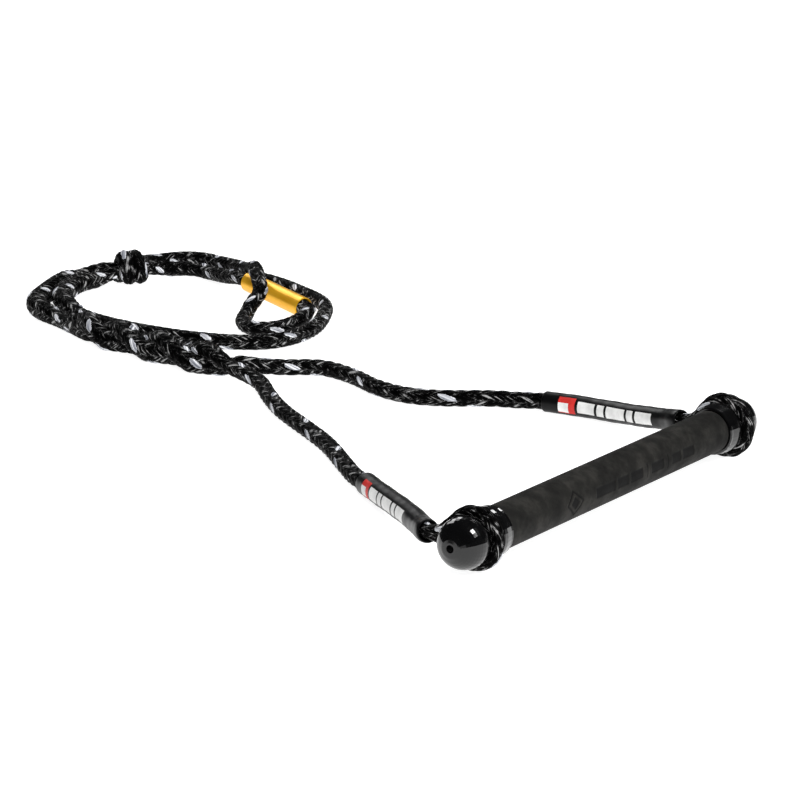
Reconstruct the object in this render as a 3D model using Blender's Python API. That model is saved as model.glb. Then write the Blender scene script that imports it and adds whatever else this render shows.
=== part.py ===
"""Tow rope handle: a rubber-gripped bar, its rope bridle, and a knotted end loop with a tube.

Metres, +Z up, the floor at z = 0. The bar lies along +Y above the origin, and the rope
lies on the floor towards -X.
"""
import math

import bmesh
import bpy
from mathutils import Vector

# Bar
AXIS_HEIGHT = 0.0203          # the rope eyes carry the bar, and rest on the floor
GRIP_LENGTH = 0.2668
GRIP_RADIUS = 0.013485        # 1.062 inch diameter
GRIP_EDGE = 0.0008            # bevel on the grip's ends
CORE_RADIUS = 0.0095
CORE_BORE = 0.0080
FOAM_RADIUS = 0.0077
FOAM_HALF = 0.1020
GAP = 0.0003                  # clearance between neighbouring bodies

# End caps, distances along the bar from its centre
PLUG_START = 0.1025
PLUG_END = 0.1225
PLUG_RADIUS = 0.0077
SPIGOT_START = 0.1230
COLLAR_START = 0.1337
COLLAR_LIP = 0.0152
COLLAR_FLARE = 0.0161
GROOVE_CENTRE = 0.1524        # the two rope grooves are 12 inches apart
NECK_RADIUS = 0.0100
BALL_CENTRE = 0.1640
BALL_RADIUS = 0.0155
NOSE_HOLE = 0.0024
NOSE_FLAT = 0.0034            # radius of the small flat round the hole
NOSE_RING = 0.0056            # radius of the faint moulded ring on the nose
HOLE_FLOOR = 0.1702
SCREW_BORE = 0.0015
SCREW_SHANK = 0.0012
SCREW_HEAD = 0.0021
SCREW_HEAD_HEIGHT = 0.0022
SCREW_TIP = 0.1050

# Rope
ROPE_RADIUS = 0.0050
SPLICED_RADIUS = 0.0053       # the rope is fuller where its own tail is buried inside
EYE_RADIUS = NECK_RADIUS + GAP + ROPE_RADIUS
ROPE_STEP = 0.008             # spacing of the rings along a rope solid
BRAID_SIDES = 2               # bevel resolution of a rope solid
TWIST_RADIUS = 0.00570        # from the splice's centreline to each strand's
TWIST_TURNS = 1.75
TWIST_STEPS = 24

# Sleeves and tube
SLEEVE_RADIUS = 0.0070
SLEEVE_BORE = 0.0058
TUBE_RADIUS = 0.0075
TUBE_BORE = 0.0063
TUBE_RIGHT = Vector((-0.443, 0.341, 0.0080))
TUBE_LEFT = Vector((-0.509, 0.367, 0.0150))
KNOT_CENTRE = Vector((-0.620, 0.370, 0.0125))
KNOT_SIZE = (0.0115, 0.0135, 0.0125)
KNOT_MARGIN = 1.06            # the ropes stop at this many knot radii from its centre
TUBE_STRAIGHT = 0.005         # the rope runs straight for this far past each tube mouth

# Routes: points on each rope's centreline, from the bar outwards
NEAR_EYE_ROUTE = [
    (-0.0210, -0.1524, 0.0203), (-0.0330, -0.1493, 0.0187), (-0.0450, -0.1355, 0.0160),
    (-0.0660, -0.1140, 0.0140), (-0.090, -0.092, 0.0120), (-0.115, -0.070, 0.0100),
    (-0.139, -0.049, 0.0085),
]
NEAR_LEG_ROUTE = [
    (-0.155, -0.035, 0.0068), (-0.172, -0.018, 0.0055), (-0.186, -0.004, 0.0052),
    (-0.205, 0.015, 0.0052), (-0.225, 0.033, 0.0052), (-0.257, 0.058, 0.0052),
    (-0.278, 0.074, 0.0052), (-0.300, 0.093, 0.0055), (-0.321, 0.114, 0.0060),
    (-0.344, 0.136, 0.0078),
]
FAR_EYE_ROUTE = [
    (-0.0210, 0.1524, 0.0203), (-0.033, 0.1545, 0.0185), (-0.046, 0.164, 0.0155),
    (-0.071, 0.175, 0.0118), (-0.099, 0.186, 0.0088), (-0.127, 0.192, 0.0075),
    (-0.153, 0.192, 0.0073),
]
FAR_LEG_ROUTE = [
    (-0.171, 0.190, 0.0062), (-0.190, 0.185, 0.0052), (-0.219, 0.168, 0.0052),
    (-0.243, 0.163, 0.0052), (-0.270, 0.170, 0.0052), (-0.303, 0.189, 0.0052),
    (-0.332, 0.198, 0.0052), (-0.352, 0.188, 0.0056), (-0.368, 0.173, 0.0080),
]
SPLICE_ROUTE = [
    (-0.380, 0.157, 0.0108), (-0.409, 0.161, 0.0108), (-0.445, 0.169, 0.0108),
    (-0.484, 0.180, 0.0108), (-0.512, 0.189, 0.0108), (-0.534, 0.198, 0.0108),
]
OUTER_ROUTE = [
    (-0.560, 0.213, 0.0052), (-0.579, 0.223, 0.0052), (-0.597, 0.2315, 0.0052),
    (-0.612, 0.243, 0.0052), (-0.6225, 0.258, 0.0052), (-0.631, 0.278, 0.0052),
    (-0.6405, 0.304, 0.0052), (-0.6465, 0.329, 0.0060), (-0.647, 0.350, 0.0080),
    (-0.6385, 0.364, 0.0105), (-0.620, 0.370, 0.0125),
]
UPPER_ROUTE = [
    (-0.620, 0.370, 0.0125), (-0.632, 0.393, 0.0105), (-0.637, 0.416, 0.0070),
    (-0.627, 0.440, 0.0052), (-0.612, 0.449, 0.0052), (-0.592, 0.445, 0.0062),
    (-0.561, 0.424, 0.0105), (-0.533, 0.399, 0.0178), (-0.514, 0.379, 0.0250),
    (-0.500, 0.362, 0.0286), (-0.484, 0.343, 0.0265), (-0.474, 0.330, 0.0190),
    (-0.4735, 0.317, 0.0105), (-0.469, 0.304, 0.0058),
]
TURN_ROUTE = [
    (-0.462, 0.290, 0.0052), (-0.452, 0.279, 0.0052), (-0.440, 0.273, 0.0052),
    (-0.430, 0.278, 0.0052), (-0.426, 0.291, 0.0053), (-0.427, 0.307, 0.0058),
    (-0.431, 0.324, 0.0066),
]
LOWER_ROUTE = [
    (-0.522, 0.373, 0.0158), (-0.545, 0.389, 0.0110), (-0.570, 0.408, 0.0070),
    (-0.592, 0.417, 0.0054), (-0.605, 0.411, 0.0056), (-0.613, 0.396, 0.0085),
    (-0.618, 0.370, 0.0125),
]
INNER_ROUTE = [
    (-0.620, 0.369, 0.0125), (-0.627, 0.357, 0.0100), (-0.632, 0.345, 0.0070),
    (-0.633, 0.323, 0.0052), (-0.626, 0.299, 0.0052), (-0.614, 0.276, 0.0052),
    (-0.594, 0.256, 0.0052), (-0.563, 0.238, 0.0052), (-0.527, 0.227, 0.0052),
    (-0.494, 0.223, 0.0052), (-0.462, 0.223, 0.0052), (-0.432, 0.229, 0.0052),
    (-0.412, 0.240, 0.0052), (-0.403, 0.257, 0.0052), (-0.402, 0.280, 0.0052),
    (-0.408, 0.305, 0.0052), (-0.421, 0.334, 0.0052), (-0.436, 0.359, 0.0052),
    (-0.454, 0.376, 0.0052), (-0.477, 0.390, 0.0052), (-0.503, 0.404, 0.0056),
    (-0.520, 0.410, 0.0062), (-0.535, 0.411, 0.0070),
]
INNER_MIDDLE = (-0.432, 0.229, 0.0052)

RUBBER = (0.020, 0.021, 0.020)
GLOSS_BLACK = (0.010, 0.010, 0.011)
ROPE_BLACK = (0.014, 0.014, 0.015)
ROPE_GREY = (0.030, 0.030, 0.032)
SLEEVE_BLACK = (0.022, 0.022, 0.023)
GOLD = (0.82, 0.48, 0.07)
ALUMINIUM = (0.60, 0.61, 0.62)
STEEL = (0.45, 0.46, 0.47)
FOAM = (0.55, 0.55, 0.52)
PLUG_WHITE = (0.70, 0.70, 0.68)


def clear_scene():
    for item in list(bpy.data.objects):
        bpy.data.objects.remove(item, do_unlink=True)


def make_collection(name):
    group = bpy.data.collections.new(name)
    bpy.context.scene.collection.children.link(group)
    return group


def material(name, colour, roughness, metallic=0.0):
    made = bpy.data.materials.new(name)
    made.use_nodes = True
    shader = made.node_tree.nodes["Principled BSDF"]
    shader.inputs["Base Color"].default_value = (*colour, 1.0)
    shader.inputs["Roughness"].default_value = roughness
    shader.inputs["Metallic"].default_value = metallic
    return made


def add_object(name, data, group, look=None):
    made = bpy.data.objects.new(name, data)
    group.objects.link(made)
    if look is not None:
        data.materials.append(look)
    return made


def smooth_route(points, step=ROPE_STEP):
    """Points a fixed distance apart on a Catmull-Rom curve through the route's points."""
    knots = [Vector(point) for point in points]
    knots.insert(0, knots[0] * 2 - knots[1])
    knots.append(knots[-1] * 2 - knots[-2])
    fine = []
    for index in range(1, len(knots) - 2):
        before, start, end, after = knots[index - 1:index + 3]
        for part in range(24):
            t = part / 24
            fine.append(0.5 * (2 * start + (end - before) * t
                               + (2 * before - 5 * start + 4 * end - after) * t ** 2
                               + (3 * start - before - 3 * end + after) * t ** 3))
    fine.append(knots[-2])
    return spaced(fine, step)


def spaced(fine, step):
    """The same polyline with evenly spaced points, its two ends kept."""
    lengths = [(second - first).length for first, second in zip(fine, fine[1:])]
    total = sum(lengths)
    count = max(2, round(total / step))
    out = [fine[0]]
    index, travelled = 0, 0.0
    for number in range(1, count):
        target = total * number / count
        while travelled + lengths[index] < target:
            travelled += lengths[index]
            index += 1
        share = (target - travelled) / lengths[index]
        out.append(fine[index].lerp(fine[index + 1], share))
    out.append(fine[-1])
    return out


def split(points, *places):
    """Cut a polyline in the middle of its segments nearest to the places, with a gap."""
    pieces = []
    rest = list(points)
    for place in places:
        middles = [first.lerp(second, 0.5) for first, second in zip(rest, rest[1:])]
        index = min(range(len(middles)), key=lambda i: (middles[i] - Vector(place)).length)
        along = (rest[index + 1] - rest[index]).normalized() * GAP / 2
        pieces.append(rest[:index + 1] + [middles[index] - along])
        rest = [middles[index] + along] + rest[index + 1:]
    return pieces + [rest]


def outside_knot(points):
    """Drop the points inside the knot, and start a gap away from its surface."""
    def depth(point):
        offset = point - KNOT_CENTRE
        return math.sqrt(sum((offset[axis] / KNOT_SIZE[axis]) ** 2 for axis in range(3)))

    points = list(points)
    while depth(points[1]) < KNOT_MARGIN:
        points.pop(0)
    low, high = points[0], points[1]
    for _ in range(24):
        middle = low.lerp(high, 0.5)
        if depth(middle) < KNOT_MARGIN:
            low = middle
        else:
            high = middle
    points[0] = high
    if len(points) > 2 and (points[1] - points[0]).length < ROPE_STEP / 3:
        points.pop(1)
    return points


def closed_mesh(curve_object, name, group, look):
    """Turn a bevelled curve into one closed mesh object with outward faces."""
    mesh = bpy.data.meshes.new_from_object(curve_object)
    bpy.data.objects.remove(curve_object, do_unlink=True)
    work = bmesh.new()
    work.from_mesh(mesh)
    bmesh.ops.remove_doubles(work, verts=work.verts, dist=1e-6)
    bmesh.ops.recalc_face_normals(work, faces=work.faces)
    work.to_mesh(mesh)
    work.free()
    mesh.name = name
    mesh.materials.clear()
    return add_object(name, mesh, group, look)


def tube_along(name, points, radius, group, look, closed=False, resolution=BRAID_SIDES):
    """A round solid along a polyline."""
    curve = bpy.data.curves.new(name + "_path", "CURVE")
    curve.dimensions = "3D"
    curve.twist_mode = "MINIMUM"
    spline = curve.splines.new("POLY")
    spline.points.add(len(points) - 1)
    for slot, point in zip(spline.points, points):
        slot.co = (*point, 1.0)
    spline.use_cyclic_u = closed
    curve.bevel_depth = radius
    curve.bevel_resolution = resolution
    curve.use_fill_caps = not closed
    return closed_mesh(add_object(name + "_path", curve, group), name, group, look)


def turned(name, profile, group, look, steps=36):
    """A body turned about the bar's axis, from (radius, distance along the bar) points."""
    mesh = bpy.data.meshes.new(name)
    work = bmesh.new()
    corners = [work.verts.new((radius, along, AXIS_HEIGHT)) for radius, along in profile]
    ring = corners + corners[:1]
    edges = [work.edges.new(pair) for pair in zip(ring, ring[1:])]
    bmesh.ops.spin(work, geom=corners + edges, cent=(0, 0, AXIS_HEIGHT), axis=(0, 1, 0),
                   angle=math.tau, steps=steps, use_merge=True)
    bmesh.ops.remove_doubles(work, verts=work.verts, dist=1e-6)
    bmesh.ops.recalc_face_normals(work, faces=work.faces)
    work.to_mesh(mesh)
    work.free()
    return add_object(name, mesh, group, look)


def solid_profile(outline):
    """Close an outline of a solid on the axis at both of its ends."""
    return [(0.0, outline[0][1])] + outline + [(0.0, outline[-1][1])]


def mirrored(profile):
    return [(radius, -along) for radius, along in profile]


def arc(centre, radius, start, end, count):
    """(radius from the bar's axis, distance along it) points on a circle's arc."""
    out = []
    for number in range(count + 1):
        angle = math.radians(start + (end - start) * number / count)
        out.append((radius * math.sin(angle), centre + radius * math.cos(angle)))
    return out


def cap_profile():
    """The end cap: spigot, flared collar, rope groove, ball nose and its screw hole."""
    spigot = [(SCREW_BORE, SPIGOT_START), (CORE_BORE - GAP, SPIGOT_START),
              (CORE_BORE - GAP, COLLAR_START)]
    collar = [(COLLAR_LIP - 0.0008, COLLAR_START), (COLLAR_LIP, COLLAR_START + 0.0008),
              (COLLAR_LIP, COLLAR_START + 0.0024), (COLLAR_FLARE - 0.0004, 0.1392),
              (COLLAR_FLARE, 0.1418), (COLLAR_FLARE, 0.1446), (COLLAR_FLARE - 0.0008, 0.1458)]
    groove = [(0.0142, 0.1466), (0.0120, 0.1471), (NECK_RADIUS + 0.0006, 0.1474),
              (NECK_RADIUS, 0.1482), (NECK_RADIUS, 0.1566), (NECK_RADIUS + 0.0006, 0.1574),
              (0.0120, 0.1577), (0.0134, 0.1580)]
    flat = math.degrees(math.asin(NOSE_FLAT / BALL_RADIUS))
    ball = arc(BALL_CENTRE, BALL_RADIUS, 108.0, flat, 12)
    ring = math.degrees(math.asin(NOSE_RING / BALL_RADIUS))
    ridge_at = min(range(len(ball)), key=lambda i: abs(ball[i][0] - NOSE_RING))
    ball[ridge_at:ridge_at + 1] = arc(BALL_CENTRE, BALL_RADIUS + 0.0002, ring + 1.5, ring - 1.5, 2)
    nose = [(NOSE_HOLE, ball[-1][1]), (NOSE_HOLE, HOLE_FLOOR), (SCREW_BORE, HOLE_FLOOR)]
    return spigot + collar + groove + ball + nose


def screw_profile():
    head = HOLE_FLOOR + 0.0001 + SCREW_HEAD_HEIGHT
    return solid_profile([
        (SCREW_SHANK * 0.4, SCREW_TIP), (SCREW_SHANK, SCREW_TIP + 0.002),
        (SCREW_SHANK, HOLE_FLOOR + 0.0001), (SCREW_HEAD, HOLE_FLOOR + 0.0001),
        (SCREW_HEAD, head - 0.0007), (SCREW_HEAD * 0.7, head),
        (SCREW_HEAD * 0.4, head), (SCREW_HEAD * 0.4, head - 0.0012)])


def plug_profile():
    """A ring-shaped plug, bored for the screw."""
    return [(SCREW_BORE, PLUG_START), (PLUG_RADIUS - 0.0005, PLUG_START),
            (PLUG_RADIUS, PLUG_START + 0.0005), (PLUG_RADIUS, PLUG_END), (SCREW_BORE, PLUG_END)]


def grip_profile():
    half = GRIP_LENGTH / 2
    inner = CORE_RADIUS + GAP
    return [(inner, half), (inner, -half), (GRIP_RADIUS - GRIP_EDGE, -half),
            (GRIP_RADIUS, -half + GRIP_EDGE), (GRIP_RADIUS, half - GRIP_EDGE),
            (GRIP_RADIUS - GRIP_EDGE, half)]


def core_profile():
    half = GRIP_LENGTH / 2
    return [(CORE_BORE, half), (CORE_BORE, -half), (CORE_RADIUS, -half), (CORE_RADIUS, half)]


def foam_profile():
    return solid_profile([(FOAM_RADIUS, -FOAM_HALF), (FOAM_RADIUS, FOAM_HALF)])


def build_bar(group, looks):
    turned("core_tube", core_profile(), group, looks["aluminium"])
    turned("foam_core", foam_profile(), group, looks["foam"])
    turned("rubber_grip", grip_profile(), group, looks["rubber"])
    for side, flip in (("near", mirrored), ("far", list)):
        turned("end_cap_" + side, flip(cap_profile()), group, looks["gloss"])
        turned("cap_screw_" + side, flip(screw_profile()), group, looks["steel"], steps=24)
        turned("tube_plug_" + side, flip(plug_profile()), group, looks["plug"], steps=32)


def eye_points(along):
    """A circle round an end cap's neck."""
    out = []
    for number in range(32):
        angle = math.tau * number / 32
        out.append(Vector((EYE_RADIUS * math.cos(angle), along,
                           AXIS_HEIGHT + EYE_RADIUS * math.sin(angle))))
    return out


def twisted_strand(start_angle):
    """One of the splice's two strands, wound round the splice's centreline."""
    centre = spaced(smooth_route(SPLICE_ROUTE, 0.002), 0.002)
    count = len(centre) - 1
    out = []
    for number in range(TWIST_STEPS + 1):
        share = number / TWIST_STEPS
        place = share * count
        index = min(int(place), count - 1)
        point = centre[index].lerp(centre[index + 1], place - index)
        forward = (centre[index + 1] - centre[index]).normalized()
        side = Vector((0, 0, 1)).cross(forward).normalized()
        up = forward.cross(side)
        angle = math.radians(start_angle) + math.tau * TWIST_TURNS * share
        out.append(point + TWIST_RADIUS * (side * math.cos(angle) + up * math.sin(angle)))
    return out


def build_sleeve(name, route, group, cutters, look):
    """A flexible tube round the eye splice: an outer solid with an inner one cut out."""
    points = smooth_route(route)
    outer = tube_along(name, points[2:], SLEEVE_RADIUS, group, look, resolution=4)
    beyond = points[-1] + (points[-1] - points[-2]).normalized() * ROPE_STEP
    inner = tube_along(name + "_cutter", points[1:] + [beyond], SLEEVE_BORE, cutters, None,
                       resolution=4)
    inner.display_type = "WIRE"
    inner.hide_render = True
    cut = outer.modifiers.new("bore", "BOOLEAN")
    cut.operation = "DIFFERENCE"
    cut.solver = "EXACT"
    cut.object = inner


def build_near_side(group, cutters, looks):
    rope = looks["rope"]
    tube_along("rope_eye_near", eye_points(-GROOVE_CENTRE), ROPE_RADIUS, group, rope, closed=True)
    build_sleeve("sleeve_near", NEAR_EYE_ROUTE, group, cutters, looks["sleeve"])
    strand = twisted_strand(0.0)
    whole = smooth_route(NEAR_EYE_ROUTE + NEAR_LEG_ROUTE + strand + OUTER_ROUTE)
    eye, leg, twisted, outer = split(whole, NEAR_LEG_ROUTE[0], strand[0], strand[-1])
    tube_along("eye_splice_near", eye, SPLICED_RADIUS, group, rope)
    tube_along("leg_near", leg, ROPE_RADIUS, group, rope)
    tube_along("splice_strand_near", twisted, ROPE_RADIUS, group, rope)
    tube_along("line_outer", outside_knot(outer[::-1]), ROPE_RADIUS, group, rope)


def build_far_side(group, cutters, looks):
    rope = looks["rope"]
    tube_along("rope_eye_far", eye_points(GROOVE_CENTRE), ROPE_RADIUS, group, rope, closed=True)
    build_sleeve("sleeve_far", FAR_EYE_ROUTE, group, cutters, looks["sleeve"])
    strand = twisted_strand(180.0)
    whole = smooth_route(FAR_EYE_ROUTE + FAR_LEG_ROUTE + strand[:-1])
    eye, leg, twisted = split(whole, FAR_LEG_ROUTE[0], strand[0])
    tube_along("eye_splice_far", eye, SPLICED_RADIUS, group, rope)
    tube_along("leg_far", leg, ROPE_RADIUS, group, rope)
    tube_along("splice_strand_far", twisted, ROPE_RADIUS, group, looks["rope_grey"])


def build_knot(group, looks):
    mesh = bpy.data.meshes.new("knot")
    work = bmesh.new()
    bmesh.ops.create_uvsphere(work, u_segments=24, v_segments=16, radius=1.0)
    for corner in work.verts:
        corner.co = Vector(corner.co[axis] * KNOT_SIZE[axis] for axis in range(3)) + KNOT_CENTRE
    work.to_mesh(mesh)
    work.free()
    add_object("knot", mesh, group, looks["rope_grey"])


def build_loop(group, looks):
    """The end loop: up over the tube, round the small turn, through the tube, to the knot."""
    rope = looks["rope"]
    along = (TUBE_RIGHT - TUBE_LEFT).normalized()
    right, left = TUBE_RIGHT + along * TUBE_STRAIGHT, TUBE_LEFT - along * TUBE_STRAIGHT
    whole = smooth_route(UPPER_ROUTE + TURN_ROUTE + [right, TUBE_RIGHT, TUBE_LEFT, left]
                         + LOWER_ROUTE)
    upper, turn, inside, lower = split(whole, TURN_ROUTE[0], right, left)
    tube_along("loop_upper", outside_knot(upper), ROPE_RADIUS, group, rope)
    tube_along("loop_turn", turn, ROPE_RADIUS, group, rope)
    tube_along("loop_in_tube", inside, ROPE_RADIUS, group, rope)
    tube_along("loop_lower", outside_knot(lower[::-1]), ROPE_RADIUS, group, rope)


def build_inner_line(group, looks):
    inner, back = split(outside_knot(smooth_route(INNER_ROUTE)), INNER_MIDDLE)
    tube_along("line_inner", inner, ROPE_RADIUS, group, looks["rope"])
    tube_along("line_return", back, ROPE_RADIUS, group, looks["rope"])


def build_loop_tube(group, look):
    """The anodised tube, made about its own axis and laid between its two end centres."""
    length = (TUBE_RIGHT - TUBE_LEFT).length / 2
    edge = 0.0004
    profile = [(TUBE_BORE, length - edge), (TUBE_BORE, edge - length),
               (TUBE_BORE + edge, -length), (TUBE_RADIUS - edge, -length),
               (TUBE_RADIUS, edge - length), (TUBE_RADIUS, length - edge),
               (TUBE_RADIUS - edge, length), (TUBE_BORE + edge, length)]
    tube = turned("loop_tube", [(radius, along) for radius, along in profile], group, look)
    for corner in tube.data.vertices:
        corner.co.z -= AXIS_HEIGHT
    tube.location = (TUBE_RIGHT + TUBE_LEFT) / 2
    tube.rotation_mode = "QUATERNION"
    tube.rotation_quaternion = (TUBE_RIGHT - TUBE_LEFT).to_track_quat("Y", "Z")


def build():
    clear_scene()
    group = make_collection("tow_rope_handle")
    cutters = make_collection("cutters")
    looks = {
        "rubber": material("grip_rubber", RUBBER, 0.85),
        "gloss": material("cap_gloss", GLOSS_BLACK, 0.12),
        "rope": material("rope_black", ROPE_BLACK, 0.75),
        "rope_grey": material("rope_dark_grey", ROPE_GREY, 0.75),
        "sleeve": material("sleeve_satin", SLEEVE_BLACK, 0.35),
        "aluminium": material("core_aluminium", ALUMINIUM, 0.35, 1.0),
        "gold": material("tube_gold", GOLD, 0.28, 1.0),
        "steel": material("screw_steel", STEEL, 0.4, 1.0),
        "foam": material("foam_core", FOAM, 0.9),
        "plug": material("plug_plastic", PLUG_WHITE, 0.6),
    }
    build_bar(group, looks)
    build_near_side(group, cutters, looks)
    build_far_side(group, cutters, looks)
    build_knot(group, looks)
    build_loop(group, looks)
    build_inner_line(group, looks)
    build_loop_tube(group, looks["gold"])


build()
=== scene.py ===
"""Looks of the tow rope handle: its braided rope, knot, printed sleeves, grip, light and camera.

Metres, +Z up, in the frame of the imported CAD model: the bar lies along +Y above the origin.
"""

import math

import bpy
import numpy as np
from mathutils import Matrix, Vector


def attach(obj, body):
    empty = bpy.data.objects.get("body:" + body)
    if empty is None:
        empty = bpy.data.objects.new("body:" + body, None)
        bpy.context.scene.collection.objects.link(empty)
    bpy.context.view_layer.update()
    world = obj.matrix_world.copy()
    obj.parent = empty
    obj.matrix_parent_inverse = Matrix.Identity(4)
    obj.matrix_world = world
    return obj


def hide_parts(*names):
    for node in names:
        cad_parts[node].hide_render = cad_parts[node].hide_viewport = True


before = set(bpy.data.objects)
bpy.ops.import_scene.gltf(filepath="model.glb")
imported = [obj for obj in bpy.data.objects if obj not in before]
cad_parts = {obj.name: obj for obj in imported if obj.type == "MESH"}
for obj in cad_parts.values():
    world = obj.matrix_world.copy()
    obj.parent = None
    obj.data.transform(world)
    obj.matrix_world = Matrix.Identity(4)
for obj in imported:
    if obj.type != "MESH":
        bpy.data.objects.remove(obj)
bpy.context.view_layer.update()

# Camera
CAMERA_PLACE = Vector((1.0901, -1.9660, 0.6268))
CAMERA_AIM = Vector((-0.1751, 0.0469, 0.0358))
CAMERA_LENS = 174.8

# Bar and rope sizes, as in the CAD
AXIS_HEIGHT = 0.0203
GROOVE_CENTRE = 0.1524
EYE_RADIUS = {"near": 0.0148, "far": 0.0157}
GRIP_LENGTH = 0.2668
GRIP_RADIUS = 0.013485
GRIP_BORE = 0.0098
TWIST_RADIUS = 0.0054
TWIST_TURNS = 1.75
SLEEVE_RADIUS = 0.0070
SLEEVE_BORE = 0.0059
SLEEVE_START = {"near": 0.013, "far": 0.0105}
TUBE_RIGHT = Vector((-0.443, 0.341, 0.0080))
TUBE_LEFT = Vector((-0.509, 0.367, 0.0150))
KNOT_CENTRE = Vector((-0.620, 0.370, 0.0125))
KNOT_TURNS = 2.45
KNOT_WIDTH = 0.0195
KNOT_TUCK = 0.0030            # how far the turns' ends lie from the knot's middle
KNOT_SPREAD = 0.0050          # how much further out the middle turns lie
KNOT_POINTS = 45

# Braid: strands wind both ways, over two and under two
STRANDS = 8                   # in each direction
LEG_LAY = 0.074               # length of rope for one turn of a strand, pulled straight
COIL_LAY = 0.060              # the same where the rope lies slack and fatter
BRAID_MIDDLE = 0.00525
WEAVE_HEIGHT = 0.00040
STRAND_CROWN = 0.00098
TRACER_LIFT = 0.00022
LARGEST_RADIUS = BRAID_MIDDLE + WEAVE_HEIGHT + TRACER_LIFT
RING_STEP = 0.00075
RING_SIDES = 48
BURIED_END = 0.45             # thickness of an end that is tucked in, as a share
THROAT_PINCH = 0.22
THROAT_LENGTH = 0.012
LEFT_SWELL = 0.42             # how much fatter the rope is over its buried tails
SPLICE_SWELL = 0.32
BACK_SWELL = 0.04

# Sleeve mesh and its print
SLEEVE_SIDES = 72
SLEEVE_RING_STEP = 0.0006
SLEEVE_LIP = 0.0009           # length over which the sleeve's edge is rounded off
SLEEVE_LIP_DROP = 0.0003
PRINT_FACING = (0.50, -0.80, 0.08)
RED_INK, WHITE_INK = 1, 2     # material slots; 0 is the bare sleeve
PRINT = [                     # along the sleeve from its leg end, then up its side
    (0.0130, 0.0215, -0.0050, 0.0014, WHITE_INK),
    (0.0130, 0.0268, -0.0056, 0.0056, RED_INK),
    (0.0290, 0.0440, -0.0037, 0.0037, WHITE_INK),
    (0.0462, 0.0530, -0.0037, 0.0037, WHITE_INK),
    (0.0552, 0.0740, -0.0037, 0.0037, WHITE_INK),
    (0.0762, 0.0830, -0.0037, 0.0037, WHITE_INK),
    (0.0852, 0.1020, -0.0037, 0.0037, WHITE_INK),
]

# Grip mesh and the marks moulded into it
GRIP_RINGS = 440
GRIP_SIDES = 160
GRIP_EDGE = 0.0011
MARK_FACING = math.radians(3)
MARK_DEPTH = 0.00035
MARK_SOFTNESS = 0.00035
GRIP_DIAMOND = -0.060         # where the diamond lies along the grip
GRIP_MARKS = [
    (-0.035, -0.012), (-0.009, 0.004), (0.007, 0.022), (0.033, 0.048), (0.059, 0.070),
    (0.073, 0.087),
]
GRIP_DIVIDERS = (0.0275, 0.0535)

# Routes from the bar outwards: the CAD's points, except that the rope's arch over the
# gold tube lies 1 to 3 mm lower. The two tails are here only.
NEAR_EYE_ROUTE = [
    (-0.0210, -0.1524, 0.0203), (-0.0330, -0.1493, 0.0187), (-0.0450, -0.1355, 0.0160),
    (-0.0660, -0.1140, 0.0140), (-0.090, -0.092, 0.0120), (-0.115, -0.070, 0.0100),
    (-0.139, -0.049, 0.0085),
]
NEAR_LEG_ROUTE = [
    (-0.155, -0.035, 0.0068), (-0.172, -0.018, 0.0055), (-0.186, -0.004, 0.0052),
    (-0.205, 0.015, 0.0052), (-0.225, 0.033, 0.0052), (-0.257, 0.058, 0.0052),
    (-0.278, 0.074, 0.0052), (-0.300, 0.093, 0.0055), (-0.321, 0.114, 0.0060),
    (-0.344, 0.136, 0.0078),
]
FAR_EYE_ROUTE = [
    (-0.0210, 0.1524, 0.0203), (-0.033, 0.1545, 0.0185), (-0.046, 0.164, 0.0155),
    (-0.071, 0.175, 0.0118), (-0.099, 0.186, 0.0088), (-0.127, 0.192, 0.0075),
    (-0.153, 0.192, 0.0073),
]
FAR_LEG_ROUTE = [
    (-0.171, 0.190, 0.0062), (-0.190, 0.185, 0.0052), (-0.219, 0.168, 0.0052),
    (-0.243, 0.163, 0.0052), (-0.270, 0.170, 0.0052), (-0.303, 0.189, 0.0052),
    (-0.332, 0.198, 0.0052), (-0.352, 0.188, 0.0056), (-0.368, 0.173, 0.0080),
]
SPLICE_ROUTE = [
    (-0.380, 0.157, 0.0108), (-0.409, 0.161, 0.0108), (-0.445, 0.169, 0.0108),
    (-0.484, 0.180, 0.0108), (-0.512, 0.189, 0.0108), (-0.534, 0.198, 0.0108),
]
OUTER_ROUTE = [
    (-0.560, 0.213, 0.0052), (-0.579, 0.223, 0.0052), (-0.597, 0.2315, 0.0052),
    (-0.612, 0.243, 0.0052), (-0.6225, 0.258, 0.0052), (-0.631, 0.278, 0.0052),
    (-0.6405, 0.304, 0.0052), (-0.6465, 0.329, 0.0060), (-0.647, 0.350, 0.0080),
    (-0.6385, 0.364, 0.0105), (-0.620, 0.370, 0.0125),
]
UPPER_ROUTE = [
    (-0.620, 0.370, 0.0125), (-0.632, 0.393, 0.0105), (-0.637, 0.416, 0.0070),
    (-0.627, 0.440, 0.0052), (-0.612, 0.449, 0.0052), (-0.592, 0.445, 0.0062),
    (-0.561, 0.424, 0.0105), (-0.533, 0.399, 0.0158), (-0.514, 0.379, 0.0222),
    (-0.500, 0.362, 0.0268), (-0.484, 0.343, 0.0245), (-0.474, 0.330, 0.0180),
    (-0.4735, 0.317, 0.0105), (-0.469, 0.304, 0.0058),
]
TURN_ROUTE = [
    (-0.462, 0.290, 0.0052), (-0.452, 0.279, 0.0052), (-0.440, 0.273, 0.0052),
    (-0.430, 0.278, 0.0052), (-0.426, 0.291, 0.0053), (-0.427, 0.307, 0.0058),
    (-0.431, 0.324, 0.0066),
]
LOWER_ROUTE = [
    (-0.522, 0.373, 0.0158), (-0.545, 0.389, 0.0110), (-0.570, 0.408, 0.0070),
    (-0.592, 0.417, 0.0054), (-0.605, 0.411, 0.0056), (-0.613, 0.396, 0.0085),
    (-0.618, 0.370, 0.0125),
]
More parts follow.
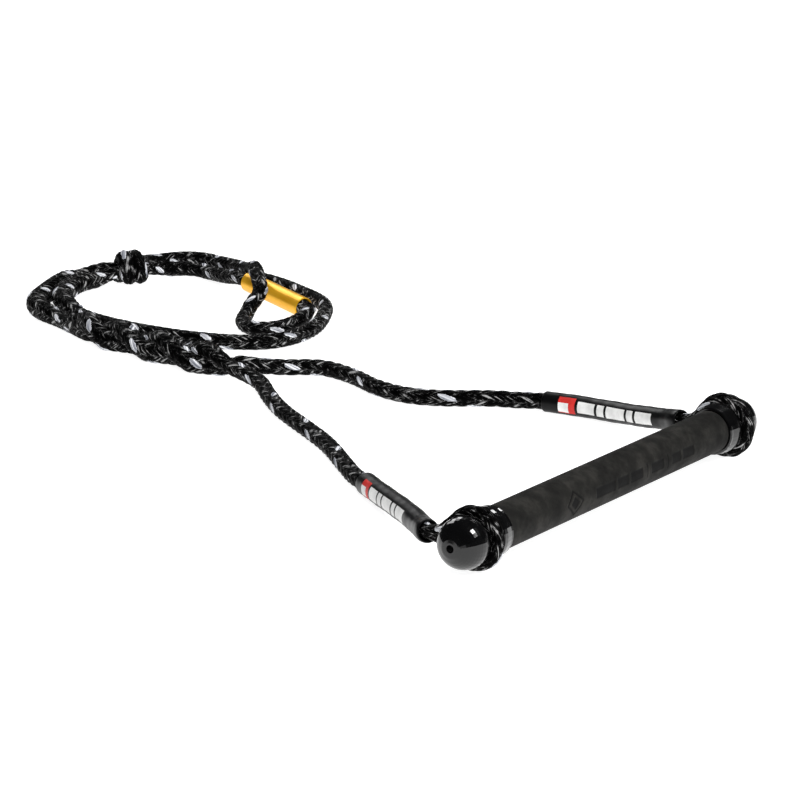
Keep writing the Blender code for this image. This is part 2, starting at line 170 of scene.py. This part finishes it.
INNER_ROUTE = [
    (-0.620, 0.369, 0.0125), (-0.627, 0.357, 0.0100), (-0.632, 0.345, 0.0070),
    (-0.633, 0.323, 0.0052), (-0.626, 0.299, 0.0052), (-0.614, 0.276, 0.0052),
    (-0.594, 0.256, 0.0052), (-0.563, 0.238, 0.0052), (-0.527, 0.227, 0.0052),
    (-0.494, 0.223, 0.0052), (-0.462, 0.223, 0.0052), (-0.432, 0.229, 0.0052),
    (-0.412, 0.240, 0.0052), (-0.403, 0.257, 0.0052), (-0.402, 0.280, 0.0052),
    (-0.408, 0.305, 0.0052), (-0.421, 0.334, 0.0052), (-0.436, 0.359, 0.0052),
    (-0.454, 0.376, 0.0052), (-0.477, 0.390, 0.0052), (-0.503, 0.404, 0.0056),
    (-0.520, 0.410, 0.0062), (-0.535, 0.411, 0.0070),
]
FAR_TAIL_ROUTE = [(-0.548, 0.205, 0.0096), (-0.562, 0.211, 0.0066), (-0.574, 0.217, 0.0056)]
INNER_TAIL_ROUTE = [(-0.546, 0.414, 0.0095), (-0.558, 0.422, 0.0106), (-0.570, 0.430, 0.0098)]


# ---------------------------------------------------------------- camera and light

def place_camera():
    camera = bpy.data.objects.new("camera", bpy.data.cameras.new("camera"))
    bpy.context.scene.collection.objects.link(camera)
    camera.location = CAMERA_PLACE
    camera.rotation_euler = (CAMERA_PLACE - CAMERA_AIM).to_track_quat("Z", "Y").to_euler()
    camera.data.lens = CAMERA_LENS
    camera.data.sensor_width = 36.0
    camera.data.clip_end = 50.0
    bpy.context.scene.camera = camera


def area_light(name, place, target, size, power, mirrored=True):
    """A softbox; one that is not mirrored lights things but isn't seen in glossy surfaces."""
    light = bpy.data.lights.new(name, "AREA")
    light.shape = "RECTANGLE"
    light.size, light.size_y = size
    light.energy = power
    lamp = bpy.data.objects.new(name, light)
    bpy.context.scene.collection.objects.link(lamp)
    lamp.location = place
    lamp.rotation_euler = (Vector(place) - Vector(target)).to_track_quat("Z", "Y").to_euler()
    lamp.visible_glossy = mirrored


def light_studio():
    world = bpy.data.worlds.new("studio")
    world.use_nodes = True
    background = world.node_tree.nodes["Background"]
    background.inputs["Color"].default_value = (0.94, 0.96, 1.0, 1.0)
    background.inputs["Strength"].default_value = 0.03
    bpy.context.scene.world = world
    bpy.context.scene.view_settings.view_transform = "Standard"
    area_light("key", (1.02, 0.05, 1.20), (0.0, -0.16, 0.0), (0.20, 0.62), 18)
    area_light("strip", (-1.43, 1.06, 1.08), (-0.3, 0.1, 0.0), (1.0, 0.62), 8)
    area_light("rim", (-0.15, 1.50, 1.05), (0.0, 0.0, 0.02), (0.35, 0.12), 2.5)
    area_light("front", (1.5, -2.4, 1.9), (-0.2, 0.1, 0.0), (1.5, 1.0), 75, mirrored=False)
    area_light("above", (-0.3, 0.3, 2.2), (-0.3, 0.1, 0.0), (1.4, 1.4), 18, mirrored=False)


def lay_floor():
    bpy.ops.mesh.primitive_plane_add(size=24.0, location=(-1.0, 2.0, 0.0))
    floor = bpy.context.active_object
    floor.name = "floor"
    tree, shader = new_material("floor_pale")
    shader.inputs["Base Color"].default_value = (0.45, 0.45, 0.45, 1.0)
    shader.inputs["Roughness"].default_value = 0.9
    shader.inputs["Specular IOR Level"].default_value = 0.1
    shader.inputs["Emission Color"].default_value = (1.0, 1.0, 1.0, 1.0)
    shader.inputs["Emission Strength"].default_value = 0.93
    floor.data.materials.append(bpy.data.materials["floor_pale"])


# ---------------------------------------------------------------- material nodes

def new_material(name):
    made = bpy.data.materials.new(name)
    made.use_nodes = True
    return made.node_tree, made.node_tree.nodes["Principled BSDF"]


def add_node(tree, kind, values=None, **settings):
    """A new node. values go to its input sockets: a linked socket, or a plain value."""
    node = tree.nodes.new("ShaderNode" + kind)
    for key, value in settings.items():
        setattr(node, key, value)
    for key, value in (values or {}).items():
        if isinstance(value, bpy.types.NodeSocket):
            tree.links.new(value, node.inputs[key])
        else:
            node.inputs[key].default_value = value
    return node


def math_node(tree, operation, first, second=0.0):
    return add_node(tree, "Math", {0: first, 1: second}, operation=operation).outputs[0]


def ramp(tree, factor, *stops):
    """A colour ramp through (position, colour) stops; a number stands for a grey."""
    node = add_node(tree, "ValToRGB", {"Fac": factor})
    points = node.color_ramp.elements
    while len(points) < len(stops):
        points.new(0.5)
    for point, (position, colour) in zip(points, stops):
        point.position = position
        shade = colour if isinstance(colour, tuple) else (colour,) * 3
        point.color = (*shade, 1.0)
    return node.outputs["Color"]


def noise(tree, scale, detail=4.0, roughness=0.6, stretch=(1.0, 1.0, 1.0), vector=None):
    if vector is None:
        vector = add_node(tree, "TexCoord").outputs["Object"]
    mapped = add_node(tree, "Mapping", {"Vector": vector, "Scale": stretch}).outputs["Vector"]
    return add_node(tree, "TexNoise", {"Vector": mapped, "Scale": scale, "Detail": detail,
                                       "Roughness": roughness}).outputs["Fac"]


def mix(tree, factor, first, second):
    """A colour mix; each colour is a socket or three numbers."""
    node = add_node(tree, "Mix", {"Factor": factor}, data_type="RGBA")
    for slot, colour in ((6, first), (7, second)):
        if isinstance(colour, bpy.types.NodeSocket):
            tree.links.new(colour, node.inputs[slot])
        else:
            node.inputs[slot].default_value = (*colour, 1.0)
    return node.outputs[2]


def bump(tree, height, strength, distance, normal=None):
    values = {"Height": height, "Strength": strength, "Distance": distance}
    if normal is not None:
        values["Normal"] = normal
    return add_node(tree, "Bump", values).outputs["Normal"]


def attribute(tree, name):
    return add_node(tree, "Attribute", attribute_name=name).outputs["Fac"]


def braid_material():
    """Black braided filament rope with one silver tracer strand; painted glints on the strand crowns,
    painted shade in the valleys.
    """
    tree, shader = new_material("braided_rope")
    across, along = attribute(tree, "across"), attribute(tree, "along")
    depth, tracer = attribute(tree, "depth"), attribute(tree, "tracer")
    place = add_node(tree, "CombineXYZ", {"X": across, "Y": along}).outputs["Vector"]
    fibres = noise(tree, 1.0, 1.0, 0.5, (3.4, 0.20, 1.0), place)
    patches = noise(tree, 170.0, 2.0, 0.6)
    # Painted highlight: thin grey-white glint strokes along the strands, put into the base colour.
    painted_glint = ramp(tree, math_node(tree, "MULTIPLY", fibres, math_node(tree, "ADD", patches, 0.5)),
                 (0.53, 0.0006), (0.60, 0.018), (0.69, 0.32))
    # The painted glints show only on the strand crowns; elsewhere the colour stays black.
    crown = ramp(tree, depth, (0.42, 0.0), (0.72, 1.0))
    black = mix(tree, crown, (0.0008, 0.0008, 0.0009), painted_glint)
    silver = mix(tree, ramp(tree, fibres, (0.38, 0.0), (0.62, 1.0)), (0.15, 0.16, 0.19),
                 (0.80, 0.81, 0.84))
    mask = ramp(tree, tracer, (0.45, 0.0), (0.55, 1.0))
    # Painted shade: the base colour is darkened in the valleys between the strands, where the surface
    # lies deepest.
    shade = ramp(tree, depth, (0.05, 0.08), (0.55, 1.0))
    lit = add_node(tree, "Mix", {"Factor": 1.0}, data_type="RGBA", blend_type="MULTIPLY")
    tree.links.new(mix(tree, mask, black, silver), lit.inputs[6])
    tree.links.new(shade, lit.inputs[7])
    tree.links.new(lit.outputs[2], shader.inputs["Base Color"])
    tree.links.new(ramp(tree, fibres, (0.35, 0.55), (0.70, 0.36)), shader.inputs["Roughness"])
    tree.links.new(bump(tree, fibres, 0.55, 0.00016), shader.inputs["Normal"])
    shader.inputs["Specular IOR Level"].default_value = 0.015
    return bpy.data.materials["braided_rope"]


def rubber_material():
    """Matte charcoal rubber: cloudy mottling, a fine moulded grain and darker marks."""
    tree, shader = new_material("grip_rubber_look")
    clouds = noise(tree, 55.0, 6.0, 0.66)
    specks = noise(tree, 420.0, 3.0, 0.7)
    grain = noise(tree, 1900.0, 2.0, 0.6)
    base = ramp(tree, clouds, (0.38, (0.0052, 0.0055, 0.0047)), (0.50, (0.0102, 0.0106, 0.0090)),
                (0.62, (0.0225, 0.0218, 0.0190)))
    mottled = mix(tree, math_node(tree, "MULTIPLY", specks, 0.5), base, (0.0075, 0.0055, 0.0062))
    tree.links.new(mix(tree, attribute(tree, "mark"), mottled, (0.0025, 0.0025, 0.0025)),
                   shader.inputs["Base Color"])
    tree.links.new(ramp(tree, clouds, (0.3, 0.92), (0.7, 0.72)), shader.inputs["Roughness"])
    fine = bump(tree, grain, 0.5, 0.00008)
    tree.links.new(bump(tree, specks, 0.35, 0.00012, fine), shader.inputs["Normal"])
    shader.inputs["Specular IOR Level"].default_value = 0.16
    return bpy.data.materials["grip_rubber_look"]


def gloss_material():
    """Glossy black moulded plastic with faint handling marks."""
    tree, shader = new_material("cap_gloss_look")
    wear = noise(tree, 150.0, 5.0, 0.7)
    scratches = noise(tree, 900.0, 2.0, 0.6, (1.0, 0.06, 1.0))
    tree.links.new(ramp(tree, wear, (0.3, (0.0010, 0.0010, 0.0011)), (0.8, (0.0026, 0.0026, 0.0028))),
                   shader.inputs["Base Color"])
    tree.links.new(ramp(tree, wear, (0.35, 0.10), (0.75, 0.19)), shader.inputs["Roughness"])
    ripple = bump(tree, wear, 0.10, 0.0002)
    tree.links.new(bump(tree, scratches, 0.05, 0.00005, ripple), shader.inputs["Normal"])
    return bpy.data.materials["cap_gloss_look"]


def sleeve_material(name, colour, roughness):
    """Satin printed sleeve: slight orange peel, and fainter gloss where it is rubbed."""
    tree, shader = new_material(name)
    rub = noise(tree, 120.0, 4.0, 0.6)
    peel = noise(tree, 700.0, 2.0, 0.5)
    darker = tuple(value * 0.72 for value in colour)
    tree.links.new(ramp(tree, rub, (0.3, darker), (0.7, colour)), shader.inputs["Base Color"])
    tree.links.new(ramp(tree, rub, (0.3, roughness), (0.8, roughness + 0.14)),
                   shader.inputs["Roughness"])
    tree.links.new(bump(tree, peel, 0.06, 0.00008), shader.inputs["Normal"])
    shader.inputs["Specular IOR Level"].default_value = 0.14
    return bpy.data.materials[name]


def gold_material():
    """Gold anodised aluminium: drawn along its length, paler where the dye is thin."""
    tree, shader = new_material("tube_gold_look")
    drawn = noise(tree, 150.0, 2.0, 0.5, (0.10, 1.0, 1.0))
    tint = noise(tree, 90.0, 3.0, 0.6)
    tree.links.new(ramp(tree, tint, (0.3, (0.90, 0.44, 0.010)), (0.7, (0.94, 0.50, 0.020))),
                   shader.inputs["Base Color"])
    tree.links.new(ramp(tree, drawn, (0.3, 0.33), (0.7, 0.36)), shader.inputs["Roughness"])
    shader.inputs["Metallic"].default_value = 0.5
    return bpy.data.materials["tube_gold_look"]


def plain_metal(name, colour, stretch):
    """Bare metal with drawn or turned lines."""
    tree, shader = new_material(name)
    lines = noise(tree, 700.0, 3.0, 0.7, stretch)
    tree.links.new(ramp(tree, lines, (0.3, tuple(v * 0.8 for v in colour)), (0.7, colour)),
                   shader.inputs["Base Color"])
    tree.links.new(ramp(tree, lines, (0.3, 0.28), (0.7, 0.46)), shader.inputs["Roughness"])
    tree.links.new(bump(tree, lines, 0.2, 0.00006), shader.inputs["Normal"])
    shader.inputs["Metallic"].default_value = 1.0
    return bpy.data.materials[name]


def foam_material(name, colour, scale):
    """Closed-cell foam or moulded plastic with a fine cell structure."""
    tree, shader = new_material(name)
    cells = add_node(tree, "TexVoronoi", {"Scale": scale}).outputs["Distance"]
    tree.links.new(ramp(tree, cells, (0.1, tuple(v * 0.7 for v in colour)), (0.6, colour)),
                   shader.inputs["Base Color"])
    tree.links.new(bump(tree, cells, 0.4, 0.0002), shader.inputs["Normal"])
    shader.inputs["Roughness"].default_value = 0.85
    return bpy.data.materials[name]


# ---------------------------------------------------------------- paths

def smooth_route(points, step=RING_STEP, softness=0.012):
    """An evenly spaced smooth path through a route's points, as an array."""
    knots = np.array([tuple(point) for point in points])
    knots = np.vstack([2 * knots[0] - knots[1], knots, 2 * knots[-1] - knots[-2]])
    share = np.linspace(0, 1, 24, endpoint=False)[:, None]
    fine = []
    for before, start, end, after in zip(knots, knots[1:], knots[2:], knots[3:]):
        fine.append(0.5 * (2 * start + (end - before) * share
                           + (2 * before - 5 * start + 4 * end - after) * share ** 2
                           + (3 * start - before - 3 * end + after) * share ** 3))
    path = evenly(np.vstack(fine + [knots[-2:-1]]), step)
    return evenly(softened(path, int(softness / step)), step)


def evenly(path, step):
    travelled = distances(path)
    marks = np.linspace(0, travelled[-1], max(2, round(travelled[-1] / step) + 1))
    return np.stack([np.interp(marks, travelled, path[:, axis]) for axis in range(3)], 1)


def distances(path):
    """Distance along a path to each of its points."""
    return np.concatenate([[0.0], np.cumsum(np.linalg.norm(np.diff(path, axis=0), axis=1))])


def softened(path, width):
    """The path with its corners averaged out, its two ends kept."""
    window = np.hanning(width + 2)[1:-1]
    window /= window.sum()
    pad = len(window)
    head = 2 * path[0] - path[pad:0:-1]
    tail = 2 * path[-1] - path[-2:-pad - 2:-1]
    padded = np.vstack([head, path, tail])
    mixed = np.stack([np.convolve(padded[:, axis], window, "same") for axis in range(3)], 1)
    return mixed[pad:-pad]


def frames(path):
    """Tangent and two side directions at each point, without twist."""
    tangents = np.gradient(path, axis=0)
    tangents /= np.linalg.norm(tangents, axis=1)[:, None]
    sides = np.empty_like(path)
    side = np.cross(tangents[0], (0.0, 0.0, 1.0))
    for index, tangent in enumerate(tangents):
        side = side - tangent * side.dot(tangent)
        side = side / np.linalg.norm(side)
        sides[index] = side
    return tangents, sides, np.cross(tangents, sides)


def twisted_strand(start_angle):
    """One of the splice's two strands, wound round the splice's centreline."""
    centre = smooth_route(SPLICE_ROUTE, 0.006)
    forward = np.gradient(centre, axis=0)
    forward /= np.linalg.norm(forward, axis=1)[:, None]
    side = np.cross((0.0, 0.0, 1.0), forward)
    side /= np.linalg.norm(side, axis=1)[:, None]
    turn = math.radians(start_angle) + math.tau * TWIST_TURNS * np.linspace(0, 1, len(centre))
    turn = turn[:, None]
    around = side * np.cos(turn) + np.cross(forward, side) * np.sin(turn)
    return [tuple(point) for point in centre + TWIST_RADIUS * around]


def eye_route(side, along):
    """Round an end cap's neck: from the tail buried at the throat, under, over and back."""
    route = [(-0.0330, along, 0.0180), (-0.0225, along, 0.0165)]
    for degrees in range(208, 518, 20):
        angle = math.radians(degrees)
        route.append((EYE_RADIUS[side] * math.cos(angle), along,
                      AXIS_HEIGHT + EYE_RADIUS[side] * math.sin(angle)))
    return route + [(-0.0215, along, 0.0212)]


def knot_route():
    """Close turns round the ropes, with both ends tucked in."""
    axis = np.array((0.75, 0.66, 0.0))
    side = np.array((-0.66, 0.75, 0.0))
    up = np.array((0.0, 0.0, 1.0))
    route = []
    for number in range(KNOT_POINTS):
        share = number / (KNOT_POINTS - 1)
        angle = math.radians(-150 + KNOT_TURNS * 360 * share)
        tuck = math.sin(math.pi * share) ** 0.5
        radius = KNOT_TUCK + KNOT_SPREAD * tuck
        offset = (share - 0.5) * KNOT_WIDTH
        point = (np.array(KNOT_CENTRE) + axis * offset
                 + radius * (side * math.cos(angle) + up * math.sin(angle)))
        route.append(tuple(point))
    return route


# ---------------------------------------------------------------- tube meshes

def tube_mesh(name, path, radii, angles, materials):
    """A closed tube of rings round a path; radii has one row for each ring."""
    _, sides, ups = frames(path)
    cos, sin = np.cos(angles), np.sin(angles)
    rings = (path[:, None] + radii[:, :, None]
             * (sides[:, None] * cos[None, :, None] + ups[:, None] * sin[None, :, None]))
    count, around = radii.shape
    corners = np.vstack([rings.reshape(-1, 3), path[:1], path[-1:]])
    index = np.arange(count * around).reshape(count, around)
    following = np.roll(index, -1, axis=1)
    faces = np.stack([index[:-1], following[:-1], following[1:], index[1:]], -1).reshape(-1, 4)
    first, last = count * around, count * around + 1
    caps = [(first, b, a) for a, b in zip(index[0], following[0])]
    caps += [(last, a, b) for a, b in zip(index[-1], following[-1])]
    mesh = bpy.data.meshes.new(name)
    mesh.from_pydata(corners.tolist(), [], faces.tolist() + [tuple(map(int, c)) for c in caps])
    mesh.shade_smooth()
    for look in materials:
        mesh.materials.append(look)
    made = bpy.data.objects.new(name, mesh)
    bpy.context.scene.collection.objects.link(made)
    return made


def store(mesh, name, values):
    """A number at each vertex; the two cap centres get the first and the last value."""
    flat = values.reshape(-1)
    flat = np.concatenate([flat, [flat[0], flat[-1]]])
    mesh.attributes.new(name, "FLOAT", "POINT").data.foreach_set("value", flat)


def braid_surface(turns, angles):
    """Radius, depth, position on the strand and tracer mask over a rope's surface."""
    along = STRANDS * turns[:, None]
    around = -STRANDS * angles[None, :] / math.tau
    rising, falling = around + along, around - along
    one, two = np.floor(rising), np.floor(falling)
    across_one, across_two = rising - one - 0.5, falling - two - 0.5
    weave_one = np.cos(math.tau * (one + falling - 1) / 4)
    weave_two = np.cos(math.tau * (two + rising - 3) / 4)

    def height(weave, across):
        crown = np.sqrt(1 - 0.97 * (2 * across) ** 2) - 1
        return WEAVE_HEIGHT * weave + STRAND_CROWN * crown

    traced = np.mod(one, STRANDS) == 0
    height_one = height(weave_one, across_one) + TRACER_LIFT * traced
    height_two = height(weave_two, across_two)
    first_on_top = height_one > height_two
    top = np.where(first_on_top, height_one, height_two)
    depth = np.clip((top + WEAVE_HEIGHT * 1.6) / (WEAVE_HEIGHT * 2.6), 0, 1)
    across = np.where(first_on_top, across_one + one * 3.7, across_two + two * 5.3)
    run = np.where(first_on_top, falling, rising)
    lens = np.abs(2 * across_one) < np.sqrt(np.clip(weave_one + 0.25, 0, 1))
    tracer = first_on_top & traced & lens
    return BRAID_MIDDLE + top, depth, across, run, tracer.astype(float)


def slackness(path):
    """0 where a leg is pulled straight, up to 1 in the coil, where the braid is shorter."""
    return np.clip((-0.365 - path[:, 0]) / 0.04, 0, 1)


def braid_turns(path, slack):
    """How many turns a strand has made by each point of a rope."""
    lay = LEG_LAY + (COIL_LAY - LEG_LAY) * slack
    return np.concatenate([[0.0], np.cumsum(np.diff(distances(path)) / lay[1:])])


def swelling(path):
    """How much fatter the rope is at each point: the coil's rope holds buried tails."""
    left = np.clip((-0.572 - path[:, 0]) / 0.028, 0, 1) * np.clip((0.352 - path[:, 1]) / 0.03, 0, 1)
    splice = (np.clip((-0.385 - path[:, 0]) / 0.03, 0, 1) * np.clip((path[:, 0] + 0.62) / 0.05, 0, 1)
              * np.clip((0.214 - path[:, 1]) / 0.012, 0, 1))
    back = np.clip((-0.530 - path[:, 0]) / 0.025, 0, 1) * np.clip((path[:, 1] - 0.385) / 0.02, 0, 1)
    return 1 + LEFT_SWELL * left + SPLICE_SWELL * splice + BACK_SWELL * back


def braided_rope(name, route, look, thickness=1.0, taper_start=0.0, taper_end=0.0, turn=0.0,
                 shift=0.0, softness=0.012, throat=0.0, squeeze=0.0):
    """A braided rope along a route, thinner towards an end that is buried.

    turn moves the tracer round the rope, in radians, and shift along it, in turns of the lay.
    throat is the distance along the rope at which its eye closes, where it is pinched.
    squeeze is the share by which the rope is thinner round the neck, before the throat.
    """
    path = smooth_route(route, softness=softness)
    length = distances(path)
    angles = np.linspace(0, math.tau, RING_SIDES, endpoint=False)
    slack = slackness(path)
    radius, depth, across, run, tracer = braid_surface(braid_turns(path, slack) + shift, angles + turn)
    scale = thickness * swelling(path)
    if taper_start:
        scale *= BURIED_END + (1 - BURIED_END) * np.clip(length / taper_start, 0, 1)
    if taper_end:
        scale *= BURIED_END + (1 - BURIED_END) * np.clip((length[-1] - length) / taper_end, 0, 1)
    if throat:
        round_neck = squeeze * np.clip((throat - length) / THROAT_LENGTH, 0, 1)
        pinch = THROAT_PINCH * np.exp(-((length - throat) / THROAT_LENGTH) ** 2)
        scale *= 1 - np.maximum(round_neck, pinch)
    path[:, 2] = np.maximum(path[:, 2], LARGEST_RADIUS * scale)
    rope = tube_mesh(name, path, radius * scale[:, None], angles, [look])
    for label, values in (("depth", depth), ("across", across), ("along", run),
                          ("tracer", tracer)):
        store(rope.data, label, values)
    return rope, path


def lay_rope(name, route, look, nodes, far_end, with_pieces=(), **shape):
    """A braided rope, attached to the rope body, that stands for CAD nodes, which it hides."""
    rope, path = braided_rope(name, route, look, **shape)
    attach(rope, "rope")
    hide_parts(*nodes)
    return rope


def build_ropes(look, sleeves):
    tube_run = (TUBE_RIGHT - TUBE_LEFT).normalized() * 0.005
    knot, knot_path = braided_rope("knot_turns", knot_route(), look, thickness=1.14,
                                   turn=2.0, softness=0.003)
    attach(knot, "rope")
    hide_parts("knot")
    lay_rope("rope_near", eye_route("near", -GROOVE_CENTRE) + NEAR_EYE_ROUTE[1:] + NEAR_LEG_ROUTE
             + twisted_strand(0.0) + OUTER_ROUTE, look,
             ["rope_eye_near", "eye_splice_near", "leg_near", "splice_strand_near", "line_outer"],
             "knot", with_pieces=[sleeves["near"], knot], taper_start=0.030, taper_end=0.020,
             throat=0.113, squeeze=0.14, turn=3.87, shift=0.30)
    lay_rope("rope_far", eye_route("far", GROOVE_CENTRE) + FAR_EYE_ROUTE[1:] + FAR_LEG_ROUTE
             + twisted_strand(180.0)[:-1] + FAR_TAIL_ROUTE, look,
             ["rope_eye_far", "eye_splice_far", "leg_far", "splice_strand_far"],
             "object", with_pieces=[sleeves["far"]], taper_start=0.030, taper_end=0.030, turn=5.33,
             shift=-0.365, throat=0.113)
    lay_rope("rope_loop", UPPER_ROUTE + TURN_ROUTE
             + [TUBE_RIGHT + tube_run, TUBE_RIGHT, TUBE_LEFT, TUBE_LEFT - tube_run]
             + LOWER_ROUTE, look, ["loop_upper", "loop_turn", "loop_in_tube", "loop_lower"],
             "object", with_pieces=[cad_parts["loop_tube"]], taper_start=0.018,
             taper_end=0.018, turn=0.7)
    lay_rope("rope_inner", INNER_ROUTE + INNER_TAIL_ROUTE, look, ["line_inner", "line_return"],
             "object", taper_start=0.018, taper_end=0.030, turn=4.9)


# ---------------------------------------------------------------- sleeves and grip

def print_slot(place, height):
    """The ink at a place along the sleeve, counted from its leg end: 0 where there is none."""
    for first, last, low, high, slot in PRINT:
        if first <= place <= last and low <= height <= high:
            return slot
    return 0


def sleeve_radii(ring_at):
    """The outer radius at each ring: rounded off at both open ends, and slightly wavy."""
    radii = []
    for at in ring_at:
        edge = min(at, ring_at[-1] - at)
        round_off = max(0.0, SLEEVE_LIP - edge)
        wave = 0.00010 * math.sin(at * 190) + 0.00006 * math.sin(at * 530)
        radii.append(SLEEVE_RADIUS - SLEEVE_LIP_DROP * (round_off / SLEEVE_LIP) ** 2 + wave)
    return radii


def sleeve_loops(rings, ring_at):
    """Loops of the sleeve's wall, out along its outside and back along its bore."""
    tangents = frames(rings)[0]
    view = np.array(PRINT_FACING)
    facing = view - tangents * (tangents @ view)[:, None]
    facing /= np.linalg.norm(facing, axis=1)[:, None]
    beside = np.cross(tangents, facing)
    sides = list(zip(rings, facing, beside))
    loops = [(*side, radius) for side, radius in zip(sides, sleeve_radii(ring_at))]
    return loops + [(*side, SLEEVE_BORE) for side in reversed(sides)]


def build_sleeve(side, route, looks):
    """A printed flexible sleeve: a thin open tube with a red block and plain white bars."""
    path = smooth_route(route)
    rings = evenly(path[int(SLEEVE_START[side] / RING_STEP):], SLEEVE_RING_STEP)
    ring_at = distances(rings)
    loops = sleeve_loops(rings, ring_at)
    angles = np.linspace(-math.pi, math.pi, SLEEVE_SIDES, endpoint=False)
    corners, faces, slots = [], [], []
    for centre, out, across, radius in loops:
        for angle in angles:
            corners.append(centre + radius * (out * math.cos(angle) + across * math.sin(angle)))
    for row in range(len(loops)):
        here = row * SLEEVE_SIDES
        after = (row + 1) % len(loops) * SLEEVE_SIDES
        place = ring_at[-1] - ring_at[row] if row < len(rings) else -1.0
        for column in range(SLEEVE_SIDES):
            beyond = (column + 1) % SLEEVE_SIDES
            faces.append((here + column, here + beyond, after + beyond, after + column))
            slots.append(print_slot(place, angles[column] * SLEEVE_RADIUS) if place > 0 else 0)
    mesh = bpy.data.meshes.new("printed_sleeve_" + side)
    mesh.from_pydata([tuple(c) for c in corners], [], faces)
    for look in looks:
        mesh.materials.append(look)
    mesh.polygons.foreach_set("material_index", slots)
    mesh.shade_smooth()
    sleeve = bpy.data.objects.new("printed_sleeve_" + side, mesh)
    bpy.context.scene.collection.objects.link(sleeve)
    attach(sleeve, "rope")
    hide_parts("sleeve_" + side)
    return sleeve


def mark_depth(along, height):
    """How deep the moulded marks are, 0 to 1: a diamond, plain bars and thin dividers."""
    depth = np.zeros_like(along)

    def inside(distance):
        return np.clip(0.5 - distance / MARK_SOFTNESS, 0, 1)

    diamond = np.abs(along - GRIP_DIAMOND) * 0.8 + np.abs(height)
    depth = np.maximum(depth, inside(np.abs(diamond - 0.0072) - 0.0008))
    depth = np.maximum(depth, inside(diamond - 0.0038))
    for first, last in GRIP_MARKS:
        box = np.maximum(np.abs(along - (first + last) / 2) - (last - first) / 2,
                         np.abs(height) - 0.0031)
        depth = np.maximum(depth, inside(box))
    for divider in GRIP_DIVIDERS:
        box = np.maximum(np.abs(along - divider) - 0.0004, np.abs(height) - 0.0044)
        depth = np.maximum(depth, inside(box))
    return depth


def build_grip(look):
    """The rubber grip as a closed tube, with its marks moulded into the surface."""
    half = GRIP_LENGTH / 2
    along = np.linspace(-half, half, GRIP_RINGS)
    angles = np.linspace(0, math.tau, GRIP_SIDES, endpoint=False)
    edge = np.minimum(along + half, half - along)
    bevel = np.maximum(GRIP_EDGE ** 2 - np.maximum(GRIP_EDGE - edge, 0) ** 2, 0)
    inset = GRIP_EDGE - np.sqrt(bevel)
    height = (np.mod(angles - MARK_FACING + math.pi, math.tau) - math.pi) * GRIP_RADIUS
    depth = mark_depth(along[:, None] + 0 * height[None, :], height[None, :] + 0 * along[:, None])
    radius = GRIP_RADIUS - inset[:, None] - MARK_DEPTH * depth
    inner = np.full((2, len(angles)), GRIP_BORE)
    radius = np.vstack([radius, inner])
    place = np.concatenate([along, [half, -half]])
    x = radius * np.cos(angles)[None, :]
    z = AXIS_HEIGHT + radius * np.sin(angles)[None, :]
    y = place[:, None] + 0 * x
    rows, columns = radius.shape
    index = np.arange(rows * columns).reshape(rows, columns)
    below = np.roll(index, -1, axis=0)
    faces = np.stack([index, below, np.roll(below, -1, 1), np.roll(index, -1, 1)], -1)
    mesh = bpy.data.meshes.new("grip_sleeve")
    mesh.from_pydata(np.stack([x, y, z], -1).reshape(-1, 3).tolist(), [],
                     faces.reshape(-1, 4).tolist())
    mesh.materials.append(look)
    mesh.attributes.new("mark", "FLOAT", "POINT").data.foreach_set(
        "value", np.vstack([depth, np.zeros_like(inner)]).reshape(-1))
    mesh.shade_smooth()
    grip = bpy.data.objects.new("grip_sleeve", mesh)
    bpy.context.scene.collection.objects.link(grip)
    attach(grip, "bar")
    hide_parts("rubber_grip")
    return grip


def finish_node(name, look, sharp=35):
    """Give a CAD node its finished material and smooth shading between sharp edges."""
    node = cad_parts[name]
    for slot in node.material_slots:
        slot.link = "OBJECT"
        slot.material = look
    node.data.polygons.foreach_set("use_smooth", [True] * len(node.data.polygons))
    split = node.modifiers.new("sharp edges", "EDGE_SPLIT")
    split.split_angle = math.radians(sharp)


place_camera()
light_studio()
lay_floor()

rope_look = braid_material()
sleeve_looks = [sleeve_material("sleeve_black", (0.0030, 0.0030, 0.0032), 0.30),
                sleeve_material("sleeve_red_ink", (0.62, 0.035, 0.030), 0.42),
                sleeve_material("sleeve_white_ink", (0.82, 0.82, 0.81), 0.45)]
sleeves = {"near": build_sleeve("near", NEAR_EYE_ROUTE, sleeve_looks),
           "far": build_sleeve("far", FAR_EYE_ROUTE, sleeve_looks)}
build_ropes(rope_look, sleeves)
build_grip(rubber_material())

gloss = gloss_material()
steel = plain_metal("screw_steel_look", (0.50, 0.50, 0.51), (1.0, 1.0, 1.0))
plug = foam_material("plug_look", (0.62, 0.62, 0.60), 900.0)
for end in ("near", "far"):
    finish_node("end_cap_" + end, gloss)
    finish_node("cap_screw_" + end, steel)
    finish_node("tube_plug_" + end, plug)
finish_node("core_tube", plain_metal("core_tube_look", (0.66, 0.67, 0.68), (1.0, 0.04, 1.0)))
finish_node("foam_core", foam_material("foam_core_look", (0.58, 0.58, 0.54), 700.0))
finish_node("loop_tube", gold_material(), sharp=25)
